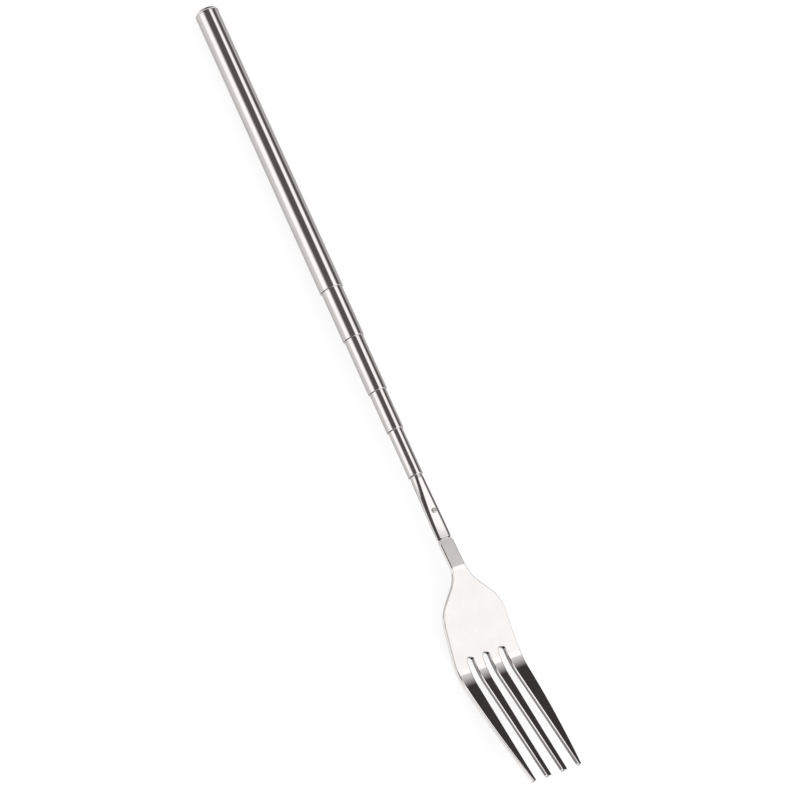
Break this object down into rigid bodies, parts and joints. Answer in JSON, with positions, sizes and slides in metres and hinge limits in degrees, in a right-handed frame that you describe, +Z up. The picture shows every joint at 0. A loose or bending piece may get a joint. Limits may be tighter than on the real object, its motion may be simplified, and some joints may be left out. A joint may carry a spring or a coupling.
{
  "type": "telescopic roasting fork",
  "caption": "Long-handled steel roasting fork whose nested tubes slide out and turn, with a stamped head of narrow tines riveted in the last tube.",
  "frame": {"origin": "middle of the underside of the fork, lying on its back at the stored extension", "axes": "+X along the fork from the handle to the tines, +Z up out of the hollow side of the head, +Y to the left seen from the handle"},
  "size_m": [0.2966, 0.0264, 0.0134],
  "materials": {
    "tube_steel": "mirror-polished stainless steel",
    "head_steel": "mirror-polished stainless steel",
    "cap_steel": "polished stainless steel, domed",
    "rivet_steel": "plain steel",
    "shim_brass": "spring brass strip"
  },
  "bodies": {
    "handle": {"handle_tube": "tube_steel", "end_cap": "cap_steel"},
    "section_2_shims": {"section_2_upper_shim": "shim_brass", "section_2_lower_shim": "shim_brass"},
    "section_2": {"section_2_tube": "tube_steel"},
    "section_3_shims": {"section_3_upper_shim": "shim_brass", "section_3_lower_shim": "shim_brass"},
    "section_3": {"section_3_tube": "tube_steel"},
    "section_4_shims": {"section_4_upper_shim": "shim_brass", "section_4_lower_shim": "shim_brass"},
    "section_4": {"section_4_tube": "tube_steel"},
    "section_5_shims": {"section_5_upper_shim": "shim_brass", "section_5_lower_shim": "shim_brass"},
    "section_5": {"section_5_tube": "tube_steel"},
    "section_6_shims": {"section_6_upper_shim": "shim_brass", "section_6_lower_shim": "shim_brass"},
    "fork": {"section_6_tube": "tube_steel", "fork_head": "head_steel", "rivet": "rivet_steel"}
  },
  "joints": [
    {"name": "section_2_slide", "type": "slide", "parent": "handle", "child": "section_2_shims", "axis": [0.9999, 0, 0.015], "range_m": [-0.0175, 0.0763]},
    {"name": "section_2_swivel", "type": "hinge", "parent": "section_2_shims", "child": "section_2", "pos_m": [-0.11912, 0, 0.00466], "axis": [0.9999, 0, 0.015], "continuous": true},
    {"name": "section_3_slide", "type": "slide", "parent": "section_2", "child": "section_3_shims", "axis": [0.9999, 0, 0.015], "range_m": [-0.0192, 0.0695]},
    {"name": "section_3_swivel", "type": "hinge", "parent": "section_3_shims", "child": "section_3", "pos_m": [-0.09332, 0, 0.00505], "axis": [0.9999, 0, 0.015], "continuous": true},
    {"name": "section_4_slide", "type": "slide", "parent": "section_3", "child": "section_4_shims", "axis": [0.9999, 0, 0.015], "range_m": [-0.0134, 0.0702]},
    {"name": "section_4_swivel", "type": "hinge", "parent": "section_4_shims", "child": "section_4", "pos_m": [-0.07332, 0, 0.00535], "axis": [0.9999, 0, 0.015], "continuous": true},
    {"name": "section_5_slide", "type": "slide", "parent": "section_4", "child": "section_5_shims", "axis": [0.9999, 0, 0.015], "range_m": [-0.0159, 0.0626]},
    {"name": "section_5_swivel", "type": "hinge", "parent": "section_5_shims", "child": "section_5", "pos_m": [-0.05082, 0, 0.00569], "axis": [0.9999, 0, 0.015], "continuous": true},
    {"name": "section_6_slide", "type": "slide", "parent": "section_5", "child": "section_6_shims", "axis": [0.9999, 0, 0.015], "range_m": [-0.0016, 0.0718]},
    {"name": "section_6_swivel", "type": "hinge", "parent": "section_6_shims", "child": "fork", "pos_m": [-0.04263, 0, 0.00581], "axis": [0.9999, 0, 0.015], "continuous": true}
  ]
}
